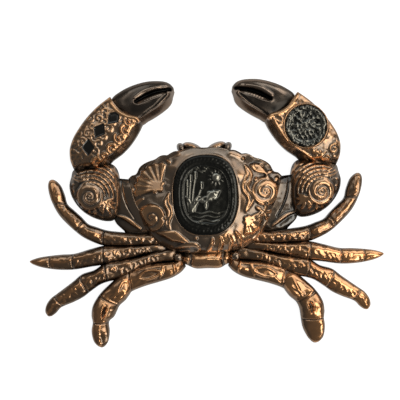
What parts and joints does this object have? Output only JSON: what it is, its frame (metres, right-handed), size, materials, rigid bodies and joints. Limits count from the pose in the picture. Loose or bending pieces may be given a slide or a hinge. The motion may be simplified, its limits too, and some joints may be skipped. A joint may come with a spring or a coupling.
{
  "type": "crab medal",
  "caption": "Flat-backed cast metal crab medal in antique copper, with dark claw fingers, an oval badge on the shell and a round badge on one claw.",
  "frame": {"origin": "on the flat back, under the middle of the shell, on the crab's middle line", "axes": "+Z out of the face, away from the flat back; +Y towards the head and claws; +X towards the crab's side with the round badge"},
  "size_m": [0.089, 0.0665, 0.0068],
  "materials": {
    "antique_copper": "satin",
    "dark_nickel": "satin",
    "black_nickel": "satin"
  },
  "bodies": {
    "root": {"shell": "antique_copper", "badge_oval": "black_nickel", "badge_round": "black_nickel", "arm_left": "antique_copper", "claw_left": "antique_copper", "fingers_left": "dark_nickel", "leg_left_1": "antique_copper", "leg_left_2": "antique_copper", "leg_left_3": "antique_copper", "leg_left_4": "antique_copper", "arm_right": "antique_copper", "claw_right": "antique_copper", "fingers_right": "dark_nickel", "leg_right_1": "antique_copper", "leg_right_2": "antique_copper", "leg_right_3": "antique_copper", "leg_right_4": "antique_copper"}
  },
  "joints": []
}
